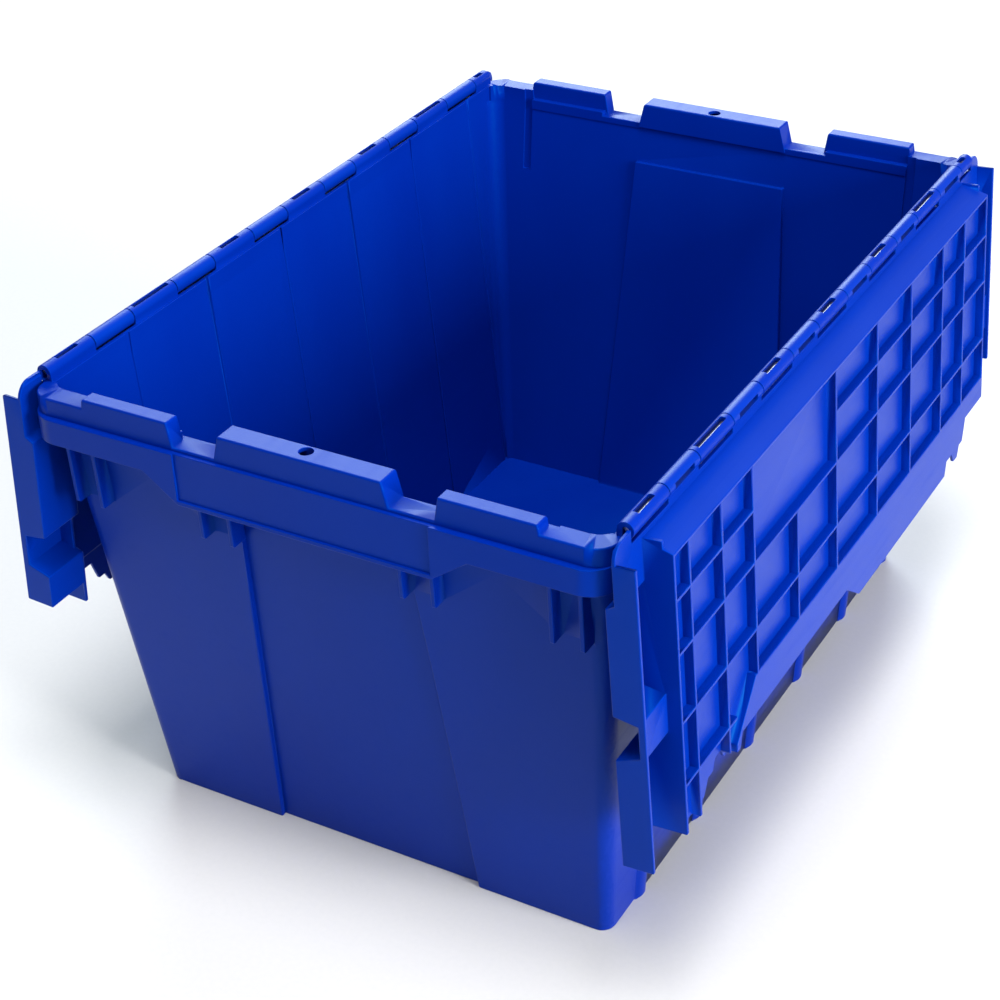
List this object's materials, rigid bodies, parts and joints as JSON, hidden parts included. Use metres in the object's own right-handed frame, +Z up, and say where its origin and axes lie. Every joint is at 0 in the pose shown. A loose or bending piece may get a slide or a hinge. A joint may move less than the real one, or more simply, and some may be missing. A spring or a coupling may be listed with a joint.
{
  "type": "attached-lid storage crate",
  "caption": "Tapered plastic storage crate with two interlocking half lids that turn on steel rods along its long sides, both lids hanging open.",
  "frame": {"origin": "middle of the underside of the crate", "axes": "+Z up, +Y along the crate, +X across it towards the right lid's hinge"},
  "size_m": [0.4364, 0.546, 0.312],
  "materials": {
    "crate_plastic": "satin moulded polypropylene",
    "lid_plastic": "satin moulded polypropylene",
    "hinge_steel": "drawn steel wire"
  },
  "bodies": {
    "crate": {"crate_body": "crate_plastic", "right_hinge_rod": "hinge_steel", "left_hinge_rod": "hinge_steel"},
    "right_lid": {"right_lid": "lid_plastic"},
    "left_lid": {"left_lid": "lid_plastic"}
  },
  "joints": [
    {"name": "right_lid_hinge", "type": "hinge", "parent": "crate", "child": "right_lid", "pos_m": [0.186, 0, 0.307], "axis": [0, -1, 0], "range_deg": [0, 266.7]},
    {"name": "left_lid_hinge", "type": "hinge", "parent": "crate", "child": "left_lid", "pos_m": [-0.186, 0, 0.307], "axis": [0, 1, 0], "range_deg": [0, 266.7]}
  ]
}
